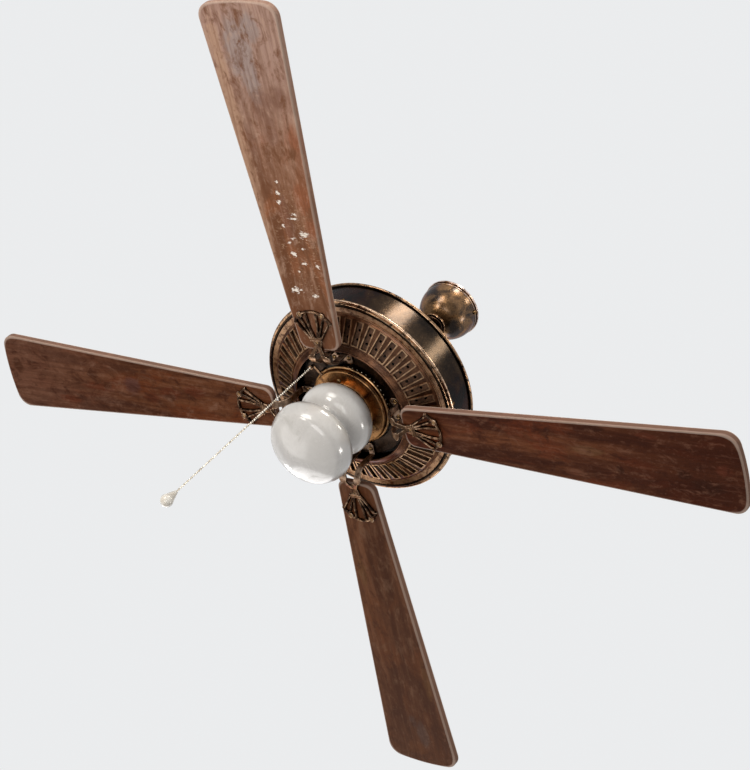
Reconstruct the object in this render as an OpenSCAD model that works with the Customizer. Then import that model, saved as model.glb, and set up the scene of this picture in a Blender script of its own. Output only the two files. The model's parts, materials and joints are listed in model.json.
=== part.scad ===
// Ceiling fan with a two-bulge glass light, hung from a ball and bracket.
// Millimetres, +Z up. The origin is the middle of the bracket's top face, on the ceiling plane.
// Everything below is placed from the blade plane, the flat underside of the blades at the hub axis.

/* [Overall] */
// ceiling to the underside of the blades
drop = 338; // [320:1:420]
// blade tip circle, across
sweep = 1320; // [1200:10:1420]

/* [Blades] */
// width of a blade at its tip
blade_tip_w = 133; // [110:1:150]
// width of a blade at its root
blade_root_w = 66; // [62:1:90]
// distance of the blade root from the axis
blade_root_r = 116.5; // [114:0.5:124]
// blade thickness
blade_t = 12; // [6:0.5:14]
// blade pitch, degrees
blade_pitch = 2; // [0:0.5:4]
// corner radius at the tip
blade_tip_corner = 22; // [12:1:34]
// corner radius at the root
blade_root_corner = 14; // [8:1:24]
// radius of the bowed tip edge
blade_tip_bow = 340; // [250:10:600]

/* [Blade irons] */
// thickness of the cast scrollwork under a blade
iron_t = 4; // [3:0.25:5.5]
// width of the scrollwork bars
iron_bar = 3.6; // [3:0.1:4.6]
// half width of the scrollwork at its widest
iron_half_w = 30; // [26:0.5:32]
// distance of the scrollwork's outer end from the axis
iron_end_r = 184; // [176:1:196]
// depth the two feet hang below the blades
foot_drop = 8; // [5:0.5:10]

/* [Motor housing] */
// radius of the side wall
drum_r = 157; // [150:1:165]
// height of the top rim above the blades
drum_top = 124; // [118:1:136]
// height of the lower beads above the blades
drum_low = 65; // [62:0.5:68]
// how far the top rim stands out of the wall
top_rim_out = 4; // [2:0.5:6]
// how far the lower bead stands out of the wall
low_bead_out = 7.6; // [5:0.2:9]
// sheet thickness of the pressed covers
sheet = 1.5; // [1:0.1:2]

/* [Vent ring] */
// number of slots
slot_count = 44; // [36:2:48]
// slot width
slot_w = 9; // [6:0.5:10]
// inner end of the slots, from the axis
slot_in_r = 108; // [104:1:112]
// plain band between the slots and the wall
slot_margin = 16; // [14:1:20]
// width of the raised frame round a slot
frame_w = 1.7; // [1.2:0.1:2.2]
// height of the raised frame
frame_h = 1.4; // [0.8:0.1:2]
// radius of the middle opening
lip_r = 94; // [93:0.5:96]

/* [Switch housing and light] */
// radius of the cup
cup_r = 60; // [56:0.5:61]
// radius of the upper ring on the cup
cup_ring_r = 66; // [64:0.5:66]
// radius of the glass at its upper bulge
glass_up_r = 59; // [56:0.5:62]
// radius of the glass at its lower bulge
glass_low_r = 66; // [62:0.5:70]
// glass wall thickness
glass_t = 3; // [2:0.5:4]
// length of the glass below the blade plane
glass_deep = 108.5; // [104:0.5:114]

/* [Canopy] */
// radius of the canopy dome
canopy_r = 46; // [45:0.5:50]
// radius of the rim against the ceiling
canopy_rim_r = 48; // [47:0.5:54]

/* [Pull chain] */
// chain diameter
chain_d = 3.2; // [2.4:0.2:3.2]
// distance of the chain's lower end below the blades
chain_deep = 313; // [200:1:330]
// widest radius of the chain's finial
finial_r = 9.4; // [7:0.2:11]
// length of the finial
finial_len = 32; // [28:1:40]

/* [Hidden] */
$fn = 96;

blades = 4;
first_blade = 90;
tip_r = sweep / 2;
bronze = [0.36, 0.24, 0.14];
dark_bronze = [0.25, 0.17, 0.11];
brass = [0.68, 0.5, 0.25];
steel = [0.62, 0.62, 0.6];
wood = [0.4, 0.22, 0.15];

// hanger, measured down from the ceiling
ball_z = -34;
ball_r = 19;
seat_gap = 0.3;
rod_r = 9.5;
rod_bore_r = 7.5;
pin_r = 3;
bracket_w = 32;
bracket_t = 2;
bolt_spacing = 70;
bolt_hole_r = 2.6;
leg_x = 28;
cup_seat_r = 24;
cup_seat_low = -44;
cup_seat_top = -30;
canopy_dome_z = -12;
canopy_sheet = 1.2;
bracket_len = 2 * sqrt(pow(canopy_r - canopy_sheet - 0.5, 2) - pow(bracket_w / 2, 2));
canopy_mouth_r = 14.5;
canopy_screw_z = -8;
canopy_screw_r = 1.75;

// motor stack, measured up from the blade plane
shaft_r = 8.5;
shaft_bore_r = 5.5;
shaft_low = 34;
shaft_top = 144;
roof_z = drum_top + 7;
roof_slope_w = 36;
crown_r = 60;
coupling_r = 17;
coupling_top = roof_z + 36;
rod_foot = roof_z + 15;
clevis_z = roof_z + 26;
clevis_r = 3.2;
cover_low_r = 36;
rotor_r = 100;
rotor_low = 64;
rotor_top = 100;
cap_t = 5;
bearing_r = 18.5;
run_gap = 0.05;
ring_in_r = 80.6;
ring_out_r = 95.9;
ring_low = 74;
ring_top = 90;
stator_r = 80;
stator_teeth = 16;
yoke_r = 46;
tooth_w = 11;
tooth_gap = 3;
shoe_t = 7;
coil_in_r = 48;
coil_out_r = 68;
coil_w = 16;
coil_gap = 0.4;
coil_low = 70.5;
coil_top = 93.5;
wheel_in_r = 68;
wheel_low = 46;
wheel_t = 8;

// vent ring, a shallow cone that sinks towards the middle
slot_out_r = drum_r - slot_margin;
cone_out_r = slot_out_r + 2;
cone_out_z = 56.5;
cone_in_z = 41;
cone_slope = (cone_out_z - cone_in_z) / (cone_out_r - slot_in_r);
cone_angle = atan(cone_slope);
lip_z = cone_in_z - (slot_in_r - lip_r) * 0.55;
shelf_in_r = cone_out_r + 4;
shelf_z = 60;
skirt_gap = 0.3;
skirt_h = 21;
drum_screw_z = drum_low + 12;
drum_screw_turns = [0, 90, 180, 270];
liner_gap = 2.6;
liner_t = 1.4;

// blade iron
arm_t = 3.6;
arm_r = lip_r - 3.8;
wheel_r = arm_r - 0.2;
arm_bend = 4.2;
arm_y = 13;
arm_half_w = 5;
foot_round = 6.4;
foot_r = arm_r + 20.8;
foot_curve = 22.6;
stem_r = 126;
foot_pad = 6.2;
iron_screw_r = 2;
iron_screw_x = arm_r - 11.2;
flange_in_r = arm_r - 16.2;
root_x = stem_r + 11;
bow_mid_r = iron_half_w + 4.2;
bow_x0 = iron_end_r - bow_mid_r - iron_bar / 2;
bow_half_angle = 66;
leaf_half = 5.2;
leaf_x = bow_x0 + (bow_mid_r - 5.6) * cos(53);
leaf_y = (bow_mid_r - 5.6) * sin(53);
leaf_lean = atan2(leaf_y - 7, leaf_x - root_x);
boss_r = 4.8;
screw_r = 2.1;
screw_spots = [[stem_r + 5, 0], [bow_x0, 0] + polar(bow_mid_r, 34), [bow_x0, 0] + polar(bow_mid_r, -34)];
washer_t = 1;
washer_r = 6.2;
blade_head_r = 4.6;

// switch housing and light
cup_top = 57;
cup_low = 30;
ring_z = 39;
cup_beads = 48;
cup_bead_z = 47;
fitter_r = 46;
fitter_low = 21.8;
neck_r = 40.5;
neck_top = 28;
neck_bead = 1.1;
thumb_z = 23.8;
up_z = -4;
up_curve = 28;
low_z = -68;
low_curve = 40;
waist_curve = 10;
shoulder_curve = 20;
merge = 0.06;
base_curve = 112;
socket_r = 18;
socket_low = -12;
bulb_r = 23;
bulb_z = -46;

// pull chain and its guide
chain_turn = 51.2;
chain_r = arm_r - 8.7;
chain_top = 33;
chain_rings = 44;
chain_sides = 8;
guide_z = 35.4;
guide_tube_r = 2.2;
guide_flange_r = 3.4;
guide_mouth_r = 3.4;
chain_x = chain_r * cos(chain_turn);
chain_y = chain_r * sin(chain_turn);
lever_turn = -60;
lever_z = 47.4;
cup_bolt_turns = [-10, 110, 230];
cup_bolt_r = 30;
cup_screw_turns = [0, 120, 240];
thumb_turns = [90, 210, 330];
cup_hole_r = 8;
small_screw_r = 1.6;
small_head_r = 2.8;

function polar(r, a) = [r * cos(a), r * sin(a)];

module at_blades() { translate([0, 0, -drop]) children(); }

module ring2d(ro, ri) { difference() { circle(ro); circle(ri); } }

// part of a flat ring between two angles less than 180 degrees apart
module arc_band(ro, ri, a0, a1) {
  far = ro * 3;
  intersection() {
    ring2d(ro, ri);
    polygon([[0, 0], polar(far, a0), polar(far, (a0 + a1) / 2), polar(far, a1)]);
  }
}

// straight bar with round ends a hair wider than the bar, so that the outlines cross
module bar2d(p, q, w) {
  d = q - p;
  translate(p) circle(w / 2 + merge);
  translate(q) circle(w / 2 + merge);
  translate(p) rotate(atan2(d[1], d[0])) translate([0, -w / 2]) square([norm(d), w]);
}

module tube(ro, ri, low, high) {
  translate([0, 0, low]) difference() {
    cylinder(r = ro, h = high - low);
    translate([0, 0, -1]) cylinder(r = ri, h = high - low + 2);
  }
}

// ---- hanger ----

module hanger_bracket() color(steel) {
  tab_h = 14;
  difference() {
    union() {
      translate([-bracket_len / 2, -bracket_w / 2, -bracket_t]) cube([bracket_len, bracket_w, bracket_t]);
      for (s = [-1, 1]) {
        translate([s * leg_x - bracket_t / 2, -cup_seat_r / 2, cup_seat_top - bracket_t])
          cube([bracket_t, cup_seat_r, -cup_seat_top]);
        translate([s * (bracket_len / 2 + bracket_t / 2) - bracket_t / 2, -7, -tab_h])
          cube([bracket_t, 14, tab_h]);
      }
      translate([-leg_x, -cup_seat_r / 2, cup_seat_top - bracket_t]) cube([2 * leg_x, cup_seat_r, bracket_t]);
      translate([0, 0, cup_seat_low]) cylinder(r = cup_seat_r, h = cup_seat_top - cup_seat_low);
    }
    translate([0, 0, ball_z]) sphere(r = ball_r + seat_gap);
    for (s = [-1, 1]) translate([s * bolt_spacing / 2, 0, -2 * bracket_t])
      cylinder(r = bolt_hole_r, h = 4 * bracket_t);
    translate([0, 0, -2 * bracket_t]) cylinder(r = 11, h = 4 * bracket_t);
    translate([-bracket_len, 0, canopy_screw_z]) rotate([0, 90, 0])
      cylinder(r = canopy_screw_r, h = 2 * bracket_len);
  }
}

module hanger_ball() color([0.85, 0.84, 0.8]) {
  difference() {
    translate([0, 0, ball_z]) sphere(r = ball_r);
    translate([0, 0, ball_z - ball_r - 1]) cylinder(r = rod_r, h = 2 * ball_r + 2);
    translate([-ball_r - 1, 0, ball_z]) rotate([0, 90, 0]) cylinder(r = pin_r, h = 2 * ball_r + 2);
    translate([-ball_r, -ball_r, ball_z + 14]) cube([2 * ball_r, 2 * ball_r, ball_r]);
  }
}

module hanger_pin() color(steel)
  translate([-17, 0, ball_z]) rotate([0, 90, 0]) cylinder(r = pin_r, h = 34);

module canopy() color(bronze) {
  mouth_z = canopy_dome_z - sqrt(canopy_r * canopy_r - canopy_mouth_r * canopy_mouth_r);
  difference() {
    rotate_extrude() {
      translate([canopy_r - canopy_sheet, canopy_dome_z]) square([canopy_sheet, -canopy_dome_z]);
      translate([canopy_r - canopy_sheet, -3]) square([canopy_rim_r - canopy_r - 0.3 + canopy_sheet, 3]);
      translate([canopy_rim_r - 1.5, -1.5]) circle(1.5);
      translate([canopy_r - 0.6, -7]) circle(1.5);
      intersection() {
        translate([0, canopy_dome_z]) ring2d(canopy_r, canopy_r - canopy_sheet);
        translate([canopy_mouth_r, mouth_z]) square([canopy_r, canopy_dome_z - mouth_z]);
      }
    }
    translate([-2 * canopy_r, 0, canopy_screw_z]) rotate([0, 90, 0])
      cylinder(r = canopy_screw_r, h = 4 * canopy_r);
  }
}

module canopy_collar() color(dark_bronze) {
  mouth_z = canopy_dome_z - sqrt(canopy_r * canopy_r - canopy_mouth_r * canopy_mouth_r);
  rotate_extrude() difference() {
    union() {
      translate([canopy_mouth_r, mouth_z - 3.4]) square([5.5, 3.4]);
      translate([canopy_mouth_r + 4.2, mouth_z - 1.7]) circle(1.7);
      translate([canopy_mouth_r, mouth_z - 6.6]) square([2.2, 4]);
      translate([canopy_mouth_r + 1.6, mouth_z - 5.2]) circle(1.4);
    }
    translate([0, canopy_dome_z]) circle(canopy_r);
  }
}

module canopy_screws() color(brass) for (s = [0, 180]) rotate(s)
  translate([bracket_len / 2 - 1, 0, canopy_screw_z]) rotate([0, 90, 0]) {
    cylinder(r = canopy_screw_r, h = canopy_r + 0.9 - bracket_len / 2 + 1);
    translate([0, 0, canopy_r + 0.9 - bracket_len / 2 + 1]) intersection() {
      cylinder(r = 3.4, h = 2.2);
      translate([0, 0, -3]) sphere(r = 5.2);
    }
  }

module downrod() color(bronze) {
  low = -drop + rod_foot;
  difference() {
    tube(rod_r, rod_bore_r, low, ball_z + 12);
    translate([-ball_r - 1, 0, ball_z]) rotate([0, 90, 0]) cylinder(r = pin_r, h = 2 * ball_r + 2);
    translate([0, -2 * rod_r, -drop + clevis_z]) rotate([-90, 0, 0]) cylinder(r = clevis_r, h = 4 * rod_r);
  }
}

// ---- coupling between rod and motor ----

module motor_coupling() color(steel) at_blades() difference() {
  union() {
    translate([0, 0, roof_z]) cylinder(r = 26, h = 4);
    translate([0, 0, roof_z]) cylinder(r = coupling_r, h = coupling_top - roof_z);
  }
  translate([0, 0, rod_foot]) cylinder(r = rod_r, h = coupling_top);
  translate([0, 0, roof_z - 1]) cylinder(r = shaft_r, h = shaft_top - roof_z + 1);
  translate([0, 0, shaft_top - 1]) cylinder(r = shaft_bore_r, h = rod_foot - shaft_top + 2);
  translate([0, -2 * coupling_r, clevis_z]) rotate([-90, 0, 0]) cylinder(r = clevis_r, h = 4 * coupling_r);
}

module coupling_pin() color(steel) at_blades() translate([0, -coupling_r - 5, clevis_z]) rotate([-90, 0, 0])
  difference() {
    union() {
      cylinder(r = clevis_r, h = 2 * coupling_r + 8);
      translate([0, 0, 2 * coupling_r + 5]) cylinder(r = clevis_r + 1.8, h = 2);
    }
    translate([-6, 0, 2.6]) rotate([0, 90, 0]) cylinder(r = 1, h = 12);
  }

module coupling_clip() color(steel) at_blades() translate([0, -coupling_r - 2.4, clevis_z])
  rotate([0, 90, 0]) cylinder(r = 1, h = 14, center = true);

module coupling_cover() color(bronze) at_blades() rotate_extrude() difference() {
  union() {
    translate([0, roof_z + 6]) intersection() {
      circle(cover_low_r + 4);
      square([cover_low_r + 4, 38]);
    }
    translate([0, roof_z]) square([cover_low_r + 4, 6]);
    translate([cover_low_r + 3, roof_z + 2]) circle(2);
  }
  translate([0, roof_z + 6]) circle(cover_low_r + 4 - sheet);
  translate([0, roof_z - 1]) square([cover_low_r + 4 - sheet, 8]);
  translate([0, roof_z - 1]) square([rod_r + 1, 60]);
}

// ---- motor housing ----

module motor_housing() color(bronze) at_blades() difference() {
  rotate_extrude() {
    translate([drum_r - sheet, drum_low - 3]) square([sheet, drum_top - drum_low + 3]);
    polygon([[drum_r, drum_top], [drum_r - roof_slope_w, drum_top + 5], [crown_r, roof_z],
      [shaft_r + 0.5, roof_z], [shaft_r + 0.5, roof_z - sheet], [crown_r, roof_z - sheet],
      [drum_r - roof_slope_w, drum_top + 5 - sheet], [drum_r, drum_top - sheet]]);
    translate([drum_r - 1, drum_top - 5]) square([top_rim_out - 1.2, 5]);
    translate([drum_r + top_rim_out - 2.5, drum_top - 2.5]) circle(2.5);
    translate([drum_r - 1, drum_low - 2.6]) square([low_bead_out - 2, 5.2]);
    translate([drum_r + low_bead_out - 2.6, drum_low]) circle(2.6);
    translate([drum_r + 1.2, drum_low - 3]) circle(2.2);
    translate([drum_r + 0.6, drum_low + 4.1]) circle(1.9);
  }
  for (a = drum_screw_turns) rotate(a) translate([drum_r - 12, 0, drum_screw_z]) rotate([0, 90, 0])
    cylinder(r = small_screw_r, h = 24);
}

function cone_z(r) = cone_in_z + (r - slot_in_r) * cone_slope;

module slot_at(i) {
  rotate(i * 360 / slot_count) translate([slot_in_r, 0, cone_in_z]) rotate([0, -cone_angle, 0]) children();
}

module vent_ring() color(bronze) at_blades() {
  span = (slot_out_r - slot_in_r) / cos(cone_angle);
  difference() {
    rotate_extrude() {
      polygon([[lip_r, lip_z], [slot_in_r - 2, cone_z(slot_in_r - 2)], [cone_out_r, cone_out_z],
        [shelf_in_r, shelf_z], [drum_r - sheet - skirt_gap, shelf_z],
        [drum_r - sheet - skirt_gap, shelf_z + sheet], [shelf_in_r - 0.8, shelf_z + sheet],
        [cone_out_r - 0.8, cone_out_z + sheet], [slot_in_r - 2, cone_z(slot_in_r - 2) + sheet],
        [lip_r, lip_z + sheet]]);
      translate([drum_r - sheet - skirt_gap - sheet, shelf_z]) square([sheet, skirt_h]);
      translate([shelf_in_r - 1, shelf_z - 0.4]) circle(1.4);
      translate([slot_in_r - 4.5, cone_z(slot_in_r - 4.5)]) circle(1.2);
      translate([lip_r + 1.4, lip_z + 0.6]) circle(1.6);
    }
    for (i = [0:slot_count - 1]) slot_at(i) translate([0, -slot_w / 2, -4]) cube([span, slot_w, 10]);
    for (a = drum_screw_turns) rotate(a) translate([drum_r - 12, 0, drum_screw_z]) rotate([0, 90, 0])
      cylinder(r = small_screw_r, h = 24);
  }
  for (i = [0:slot_count - 1]) slot_at(i) difference() {
    translate([-frame_w, -slot_w / 2 - frame_w, -frame_h])
      cube([span + 2 * frame_w, slot_w + 2 * frame_w, frame_h + 0.9]);
    translate([0, -slot_w / 2, -4]) cube([span, slot_w, 10]);
  }
}

module vent_liner() color(dark_bronze) at_blades() {
  hole_r = slot_w * 0.24;
  low_r = slot_in_r - 3;
  high_r = cone_out_r;
  rest_z = shelf_z + sheet;
  difference() {
    rotate_extrude() polygon([[low_r, cone_z(low_r) + sheet + liner_gap], [high_r, rest_z],
      [drum_r - 5, rest_z], [drum_r - 5, rest_z + liner_t], [high_r, rest_z + liner_t],
      [low_r, cone_z(low_r) + sheet + liner_gap + liner_t]]);
    for (i = [0:slot_count - 1], share = [0.28, 0.72]) slot_at(i)
      translate([share * (slot_out_r - slot_in_r), 0, 0]) cylinder(r = hole_r, h = 12);
  }
}

module housing_screws() color(brass) at_blades() for (a = drum_screw_turns) rotate(a)
  translate([drum_r - 6, 0, drum_screw_z]) rotate([0, 90, 0]) {
    cylinder(r = small_screw_r, h = 6);
    translate([0, 0, 6]) cylinder(r = small_head_r, h = 1.5);
  }

// ---- motor ----

module motor_shaft() color(steel) at_blades() tube(shaft_r, shaft_bore_r, shaft_low, shaft_top);

module stator_core() color([0.5, 0.5, 0.5]) at_blades() translate([0, 0, ring_low + 1])
  linear_extrude(ring_top - ring_low - 2) difference() {
    union() {
      circle(yoke_r);
      for (i = [0:stator_teeth - 1]) rotate(i * 360 / stator_teeth) translate([yoke_r - 2, -tooth_w / 2])
        square([stator_r - shoe_t - yoke_r + 3, tooth_w]);
      ring2d(stator_r, stator_r - shoe_t);
    }
    circle(shaft_r);
    for (i = [0:stator_teeth - 1]) rotate((i + 0.5) * 360 / stator_teeth)
      translate([stator_r - shoe_t - 2, -tooth_gap / 2]) square([shoe_t + 4, tooth_gap]);
  }

module stator_windings() color([0.7, 0.35, 0.15]) at_blades() for (i = [0:stator_teeth - 1])
  rotate(i * 360 / stator_teeth) difference() {
    translate([coil_in_r, -coil_w / 2, coil_low]) cube([coil_out_r - coil_in_r, coil_w, coil_top - coil_low]);
    translate([yoke_r, -tooth_w / 2 - coil_gap, ring_low + 1 - coil_gap])
      cube([stator_r - yoke_r, tooth_w + 2 * coil_gap, ring_top - ring_low - 2 + 2 * coil_gap]);
    for (s = [-1, 1]) rotate(s * 180 / stator_teeth)
      translate([yoke_r, s > 0 ? -coil_gap : coil_gap - coil_w, 0]) cube([stator_r, coil_w, coil_top + 1]);
  }

module bearing_bottom() color(steel) at_blades() tube(bearing_r - run_gap, shaft_r, rotor_low, rotor_low + 7);

module bearing_top() color(steel) at_blades() tube(bearing_r - run_gap, shaft_r, rotor_top - 7, rotor_top);

module rotor_cap_bottom() color([0.55, 0.55, 0.55]) at_blades() {
  tube(rotor_r, bearing_r, rotor_low, rotor_low + cap_t);
  tube(rotor_r, ring_out_r, rotor_low, ring_low + 6);
}

module rotor_cap_top() color([0.55, 0.55, 0.55]) at_blades() {
  tube(rotor_r, bearing_r, rotor_top - cap_t, rotor_top);
  tube(rotor_r, ring_out_r, ring_low + 6, rotor_top);
}

module rotor_ring() color([0.45, 0.45, 0.45]) at_blades() tube(ring_out_r, ring_in_r, ring_low, ring_top);

module flywheel() color(dark_bronze) at_blades() difference() {
  union() {
    tube(wheel_r, wheel_in_r, wheel_low, wheel_low + wheel_t);
    tube(wheel_in_r + 6, wheel_in_r, wheel_low, rotor_low);
  }
  for (k = [0:blades - 1], s = [-1, 1]) rotate(first_blade + k * 360 / blades)
    translate([iron_screw_x, s * arm_y, wheel_low - 1]) cylinder(r = iron_screw_r, h = wheel_t - 1);
}

// ---- blade irons ----

// ribs of the openwork: a middle fork, a leaf on each side, and the bow round their ends
module scroll2d(w) {
  k = w / iron_bar;
  end = [bow_x0, 0] + polar(bow_mid_r, 15);
  polygon([[stem_r - 6, -4.5 * k], [stem_r - 6, 4.5 * k], [root_x, 9.5 * k], [root_x, -9.5 * k]]);
  translate([stem_r - 6, 0]) circle(4.5 * k + merge);
  translate([root_x - 2.5, -10]) square([4, 20]);
  for (s = [-1, 1]) {
    bar2d([root_x, s * 2.6], [root_x + 21, s * 7.6], w);
    bar2d([root_x + 21, s * 7.6], [end[0], s * end[1]], w);
    bar2d([root_x, s * 5.2], [leaf_x, s * leaf_y] + leaf_half * [sin(leaf_lean), -s * cos(leaf_lean)], w);
    bar2d([root_x - 1, s * 8.6], [leaf_x, s * leaf_y] + leaf_half * [-sin(leaf_lean), s * cos(leaf_lean)], w);
    translate([leaf_x, s * leaf_y]) rotate(s * leaf_lean)
      arc_band(leaf_half + w / 2, leaf_half - w / 2, -88, 88);
  }
  translate([bow_x0, 0]) arc_band(bow_mid_r + w / 2, bow_mid_r - w / 2, -bow_half_angle, bow_half_angle);
}

module feet2d() {
  for (s = [-1, 1]) {
    translate([flange_in_r, s * arm_y - arm_half_w]) square([foot_r - 6 - flange_in_r, 2 * arm_half_w]);
    translate([flange_in_r, s * arm_y]) circle(arm_half_w);
    translate([foot_r - 6, s * arm_y]) circle(foot_round);
    bar2d([foot_r - 4, s * (arm_y - 1)], [stem_r, s * 1.2], foot_pad);
  }
  translate([flange_in_r, -arm_y]) square([9, 2 * arm_y]);
}

// side view of the two arms: flange, drop through the opening, sweep out under the blade
module arm_side2d() {
  top = wheel_low - arm_t;
  sweep_z = foot_curve - foot_drop;
  translate([flange_in_r - 6, top]) square([arm_r - arm_bend - flange_in_r + 6, arm_t]);
  translate([arm_r - arm_bend, top - arm_bend + arm_t / 2])
    arc_band(arm_bend + arm_t / 2, arm_bend - arm_t / 2, 0, 90);
  translate([arm_r - arm_t / 2, sweep_z]) square([arm_t, top - arm_bend + arm_t / 2 - sweep_z]);
  translate([arm_r + foot_curve, sweep_z])
    arc_band(foot_curve + arm_t / 2, foot_curve - arm_t / 2, 180, 270);
  polygon([[arm_r + foot_curve - 1, -foot_drop - arm_t / 2], [arm_r + foot_curve - 1, -foot_drop + arm_t / 2],
    [stem_r - 4, -0.3], [stem_r + 5, -0.3], [stem_r + 5, -iron_t - 1], [stem_r - 2, -iron_t - 1]]);
}

module blade_iron(k) color(dark_bronze) at_blades() rotate(first_blade + k * 360 / blades) difference() {
  union() {
    intersection() {
      translate([0, 0, -30]) linear_extrude(100) feet2d();
      translate([0, 40, 0]) rotate([90, 0, 0]) linear_extrude(80) arm_side2d();
    }
    rotate([blade_pitch, 0, 0]) {
      translate([0, 0, -iron_t]) linear_extrude(iron_t) scroll2d(iron_bar);
      translate([0, 0, -iron_t - 1.1]) linear_extrude(1.2) scroll2d(iron_bar * 0.5);
      for (p = screw_spots) translate([p[0], p[1], -iron_t - 0.6]) cylinder(r = boss_r, h = iron_t + 0.6);
      for (x = [root_x - 3, root_x + 0.6]) translate([x, -10.4, -iron_t - 1.6]) cube([2, 20.8, 2.6]);
    }
  }
  rotate([blade_pitch, 0, 0]) for (p = screw_spots) translate([p[0], p[1], -iron_t - 3])
    cylinder(r = screw_r, h = iron_t + 4);
  for (s = [-1, 1]) translate([iron_screw_x, s * arm_y, 30]) cylinder(r = iron_screw_r, h = 30);
}

module blade_iron_1() blade_iron(0);
module blade_iron_2() blade_iron(1);
module blade_iron_3() blade_iron(2);
module blade_iron_4() blade_iron(3);

module iron_screws() color(brass) at_blades() for (k = [0:blades - 1], s = [-1, 1])
  rotate(first_blade + k * 360 / blades) translate([iron_screw_x, s * arm_y, 0]) {
    translate([0, 0, wheel_low - arm_t]) cylinder(r = iron_screw_r, h = arm_t + 5);
    translate([0, 0, wheel_low - arm_t - 2]) cylinder(r = 3.6, h = 2);
  }

// ---- blades ----

edge_slope = (blade_tip_w - blade_root_w) / 2 / (tip_r - blade_root_r);
edge_angle = atan(edge_slope);
bow_x = tip_r - blade_tip_bow;

// where a corner circle sits: touching the slanted edge and the bowed tip
function tip_corner(rc) = let (
    off = blade_root_w / 2 - rc / cos(edge_angle) - edge_slope * (blade_root_r - bow_x),
    m = edge_slope, reach = blade_tip_bow - rc,
    qa = 1 + m * m, qb = 2 * m * off, qc = off * off - reach * reach,
    x = (-qb + sqrt(qb * qb - 4 * qa * qc)) / (2 * qa))
  [bow_x + x, off + m * x];

module blade2d() {
  rt = blade_tip_corner;
  rr = blade_root_corner;
  t = tip_corner(rt);
  r = [blade_root_r + rr,
    blade_root_w / 2 + edge_slope * rr - rr / cos(edge_angle)];
  te = t + rt * [-sin(edge_angle), cos(edge_angle)];
  re = r + rr * [-sin(edge_angle), cos(edge_angle)];
  d = t - [bow_x, 0];
  ta = t + rt * d / norm(d);
  for (s = [-1, 1]) {
    translate([t[0], s * t[1]]) circle(rt);
    translate([r[0], s * r[1]]) circle(rr);
  }
  polygon([[blade_root_r, -r[1]], [re[0], -re[1]], [te[0], -te[1]], [ta[0], -ta[1]],
    [ta[0], ta[1]], [te[0], te[1]], [re[0], re[1]], [blade_root_r, r[1]]]);
  intersection() {
    translate([bow_x, 0]) circle(blade_tip_bow);
    translate([ta[0] - 1, -ta[1]]) square([40, 2 * ta[1]]);
  }
}

module blade(k) color(wood) at_blades() rotate(first_blade + k * 360 / blades) rotate([blade_pitch, 0, 0])
  difference() {
    linear_extrude(blade_t) blade2d();
    for (p = screw_spots) translate([p[0], p[1], -1]) cylinder(r = screw_r, h = blade_t + 2);
  }

module blade_1() blade(0);
module blade_2() blade(1);
module blade_3() blade(2);
module blade_4() blade(3);

module at_screw_spots() for (k = [0:blades - 1]) rotate(first_blade + k * 360 / blades)
  rotate([blade_pitch, 0, 0]) for (p = screw_spots) translate([p[0], p[1], 0]) children();

module blade_screws() color(brass) at_blades() at_screw_spots() {
  translate([0, 0, -iron_t]) cylinder(r = screw_r, h = blade_t + iron_t + washer_t);
  translate([0, 0, blade_t + washer_t]) intersection() {
    cylinder(r = blade_head_r, h = 2.4);
    translate([0, 0, -5]) sphere(r = 7.3);
  }
}

module blade_washers() color([0.3, 0.1, 0.08]) at_blades() at_screw_spots()
  tube(washer_r, screw_r, blade_t, blade_t + washer_t);

// ---- switch housing ----

module switch_plate() color(steel) at_blades() difference() {
  union() {
    tube(cup_r - sheet, shaft_r, cup_top - 2, cup_top);
    tube(cup_r - sheet, cup_r - 2 * sheet, cup_top - 6.5, cup_top);
  }
  for (a = cup_screw_turns) rotate(a) translate([cup_r - 8, 0, cup_top - 4]) rotate([0, 90, 0])
    cylinder(r = small_screw_r, h = 16);
}

module shaft_nut() color(steel) at_blades() difference() {
  translate([0, 0, cup_top - 10]) cylinder(r = 15, h = 8, $fn = 6);
  translate([0, 0, cup_top - 11]) cylinder(r = shaft_r, h = 10);
}

module switch_housing() color(brass) at_blades() difference() {
  union() {
    rotate_extrude() {
      translate([cup_r - sheet, cup_low]) square([sheet, cup_top - cup_low]);
      translate([cup_hole_r, cup_low]) square([cup_r - cup_hole_r, sheet]);
      translate([cup_r - 1, ring_z - 1.5]) square([cup_ring_r - cup_r - 1, 3]);
      translate([cup_ring_r - 2.3, ring_z]) circle(2.3);
      translate([cup_r, cup_low + 2]) circle(2.2);
      translate([cup_r + 0.4, ring_z - 4.4]) circle(1.5);
    }
    for (i = [0:cup_beads - 1]) rotate((i + 0.5) * 360 / cup_beads)
      translate([cup_r + 0.2, 0, cup_bead_z]) sphere(r = 1.5);
  }
  rotate(chain_turn) translate([cup_r - 6, 0, guide_z]) rotate([0, 90, 0]) {
    cylinder(r = guide_tube_r, h = 12);
    translate([0, 0, 6]) cylinder(r = guide_flange_r + 0.1, h = 12);
  }
  rotate(lever_turn) translate([cup_r - 6, -6, lever_z - 2.2]) cube([12, 12, 4.4]);
  for (a = cup_screw_turns) rotate(a) translate([cup_r - 8, 0, cup_top - 4]) rotate([0, 90, 0])
    cylinder(r = small_screw_r, h = 16);
  for (a = cup_bolt_turns) rotate(a) translate([cup_bolt_r, 0, cup_low - 1])
    cylinder(r = small_screw_r, h = 6);
}

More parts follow.
